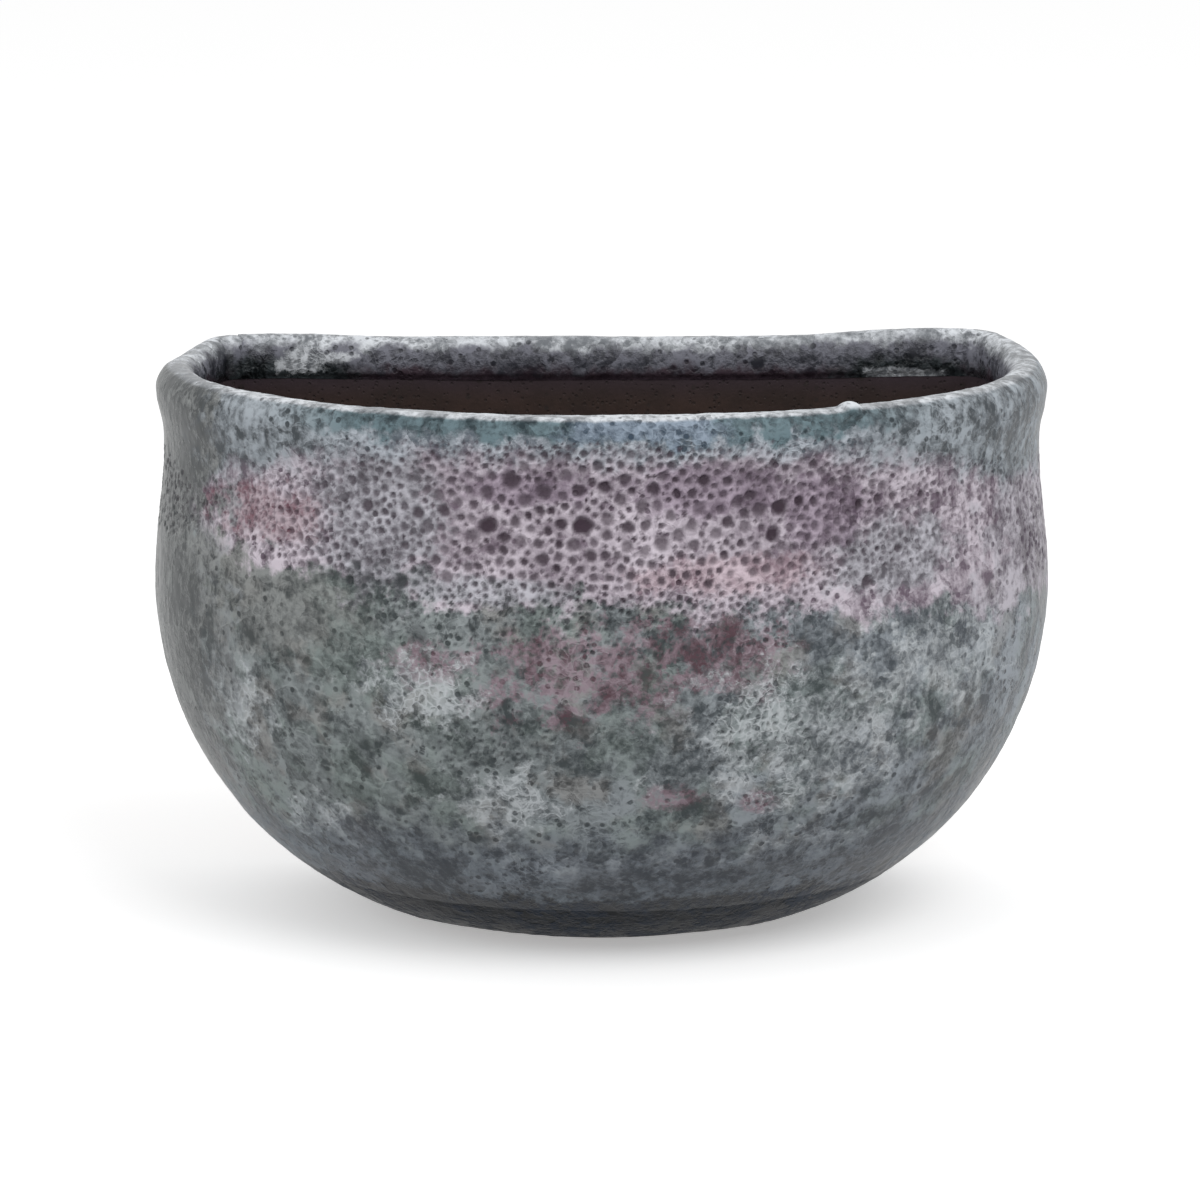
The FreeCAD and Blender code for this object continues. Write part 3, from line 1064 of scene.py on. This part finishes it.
# white smears in the back corners, in the crest's pale tone: partly pale glaze, partly painted highlight
for middle_place, reach in (((-104, -14, 32), (8, 7, 4)), ((101, -14, 28), (13, 7, 2.4)),
                            ((116, -24, 34), (6, 8, 3)), ((-93, -13, 34), (9, 6, 2.2))):
    lay(patch_mask(middle_place, reach, 3.6), "crest", 0.75)
print(len(tree.nodes), "nodes with the washes")

# %% [markdown]
# ## Grain
#
# One value from 0 to 1 sums up the mottling, scales, seams, runs and pinholes, and painted shade at the far
# sides and towards the bottom, and decides between the dark and the light tone at every point. It is calmer on
# the belt's crust, and it also gives relief and gloss.

# %% Grain
sides = ramp(across, 0.085, 0.118)
sides = calc("MAXIMUM", sides, times(lip, ramp(x, -0.055, -0.085)))
skin = times(belt, ramp(across, 0.085, 0.04))
skin = times(skin, minus(1.0, lip))
calm = plus(1.0, times(lip, 0.1))
calm = minus(calm, times(skin, 0.3))
seams = ramp(minus(broad, times(x, 0.8)), -0.12, 0.10)
seams = times(seams, ramp(z, -0.02, -0.045))
seams = times(seams, ramp(middle, -0.10, 0.06))
sandy = minus(1.0, times(seams, 0.6))
lace = times(small_scales["Seam"], ramp(broad, -0.02, 0.14))
crowded = ramp(plus(middle, broad), -0.10, 0.14, 0.2, 1.0)
grain = times(middle, 2.1)
# among these, the far sides and the fall of z towards the bottom pull the grain darker: painted shade
for value, amount in (
        (broad, 0.9), (times(fine, sandy), 1.7), (large_scales["Tone"], 0.5), (side_tint_and_shade, -0.42),
        (times(small_scales["Tone"], sandy), 0.42), (times(flow, sides), 2.3), (lace, 0.4),
        (times(large_scales["Seam"], seams), 0.5), (pale, 0.2), (times(holes, crowded), -0.85),
        (blots, -0.4), (ramp(z, -0.075, -0.125), -0.25)):
    grain = plus(grain, times(value, amount))
grain = plus(times(grain, calm), 0.52)
grain = plus(grain, times(skin, 0.08))
# blister rings and the bead lighter; on the bead this is partly painted highlight
grain = plus(grain, times(ins["Ring and bead highlight"], 0.5))
grain = ramp(grain, -0.25, 1.25)
colour = mixed(grain, dark, light)
pit_dark = mixed(belt, srgb(36, 42, 46), srgb(54, 38, 51))
feed(outs["Color"], mixed(ins["Pit"], colour, pit_dark))
feed(outs["Relief"], minus(grain, times(ins["Pit"], 0.3)))
feed(outs["Gloss"], ramp(grain, 0.0, 1.0, 0.30, 0.52))
print(len(tree.nodes), "nodes in the whole glaze")

# %% [markdown]
# ## The four coats' materials
#
# The coats share the recipe and read the numbers kept on their own mesh. The smooth slate at the foot
# catches less light than the rest.

# %% The four coats' materials
coat_slots = {"slate": "slate_glaze", "bowl": "mottled_glaze", "belt": "crater_glaze", "lip": "lip_glaze"}
for key, slot in coat_slots.items():
    material, tree, shader, place = new_material(slot)
    numbers = {"Vector": place}
    for socket, kept in (("Pit", "pit"), ("Ring and bead highlight", "blister_ring_and_bead_highlight"), ("Inside", "down_inside")):
        numbers[socket] = add("ShaderNodeAttribute", {"attribute_name": kept}, {}, tree).outputs["Fac"]
    fired = use(glaze_group, numbers)
    feed(shader["Base Color"], fired["Color"])
    feed(shader["Roughness"], fired["Gloss"])
    shader["Specular IOR Level"].default_value = 0.08 if key == "slate" else 0.30
    feed(shader["Normal"], bumped(fired["Relief"], 0.5 * mm))
    pieces[key].data.materials.append(material)
print("coats finished:", ", ".join(coat_slots))

# %% [markdown]
# ## Bare clay
#
# The clay is painted darker inside the pot, and lighter and redder on the back and the foot: painted shade in
# the hollow. It has grit, iron spots, scraper lines on the back and a stain near the lip's coat.

# %% Bare clay
clay, tree, shader, place = new_material("bare_clay")
axes = add("ShaderNodeSeparateXYZ", {}, {"Vector": place}).outputs
body = clouds(place, 60, 6, 0.6)
flash = clouds(place, 14, 3, 0.5)
grit = use(pinhole_group, {"Vector": place, "Scale": 700, "Radius": 0.45, "Share": 0.3})["Mask"]
iron = use(pinhole_group, {"Vector": place, "Scale": 260, "Radius": 0.3, "Share": 0.22})["Mask"]
scraped = clouds(vector_calc("MULTIPLY", place, (0.1, 1, 1)), 260, 4, 0.6)
# the back face and the bottom get the outer tones; everywhere else, mostly inside the pot, the clay gets much
# darker inner tones: painted shade in the hollow
outside_faces = calc("MAXIMUM", ramp(axes["Y"], -0.003, -0.0008), ramp(axes["Z"], -0.1465, -0.1478))
inner = mixed(ramp(body, 0.3, 0.7), srgb(40, 26, 21), srgb(58, 40, 33))
outer = mixed(ramp(flash, 0.35, 0.65), srgb(98, 70, 56), srgb(128, 92, 74))
outer = mixed(ramp(scraped, 0.35, 0.68, 0.0, 0.4), outer, srgb(84, 60, 50))
outer = mixed(ramp(body, 0.52, 0.7, 0.0, 0.5), outer, srgb(112, 96, 88))
stained = ramp(plus(axes["Z"], times(body, 0.01)), 0.022, 0.034)
inner = mixed(stained, inner, srgb(50, 38, 46))
colour = mixed(outside_faces, inner, outer)
colour = mixed(times(grit, 0.45), colour, srgb(36, 27, 24))
feed(shader["Base Color"], mixed(times(iron, 0.7), colour, srgb(34, 25, 22)))
shader["Roughness"].default_value = 0.85
relief = minus(clouds(place, 300, 5, 0.7), grit)
relief = plus(relief, times(times(scraped, outside_faces), 0.9))
feed(shader["Normal"], bumped(relief, 0.3 * mm))
for name in ("base_slab", "bowl_wall", "back_slab", "corner_coils"):
    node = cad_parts[name]
    node.data.materials.clear()
    node.data.materials.append(clay)
clay_rim.data.materials.append(clay)
print(len(tree.nodes), "nodes in the bare clay")
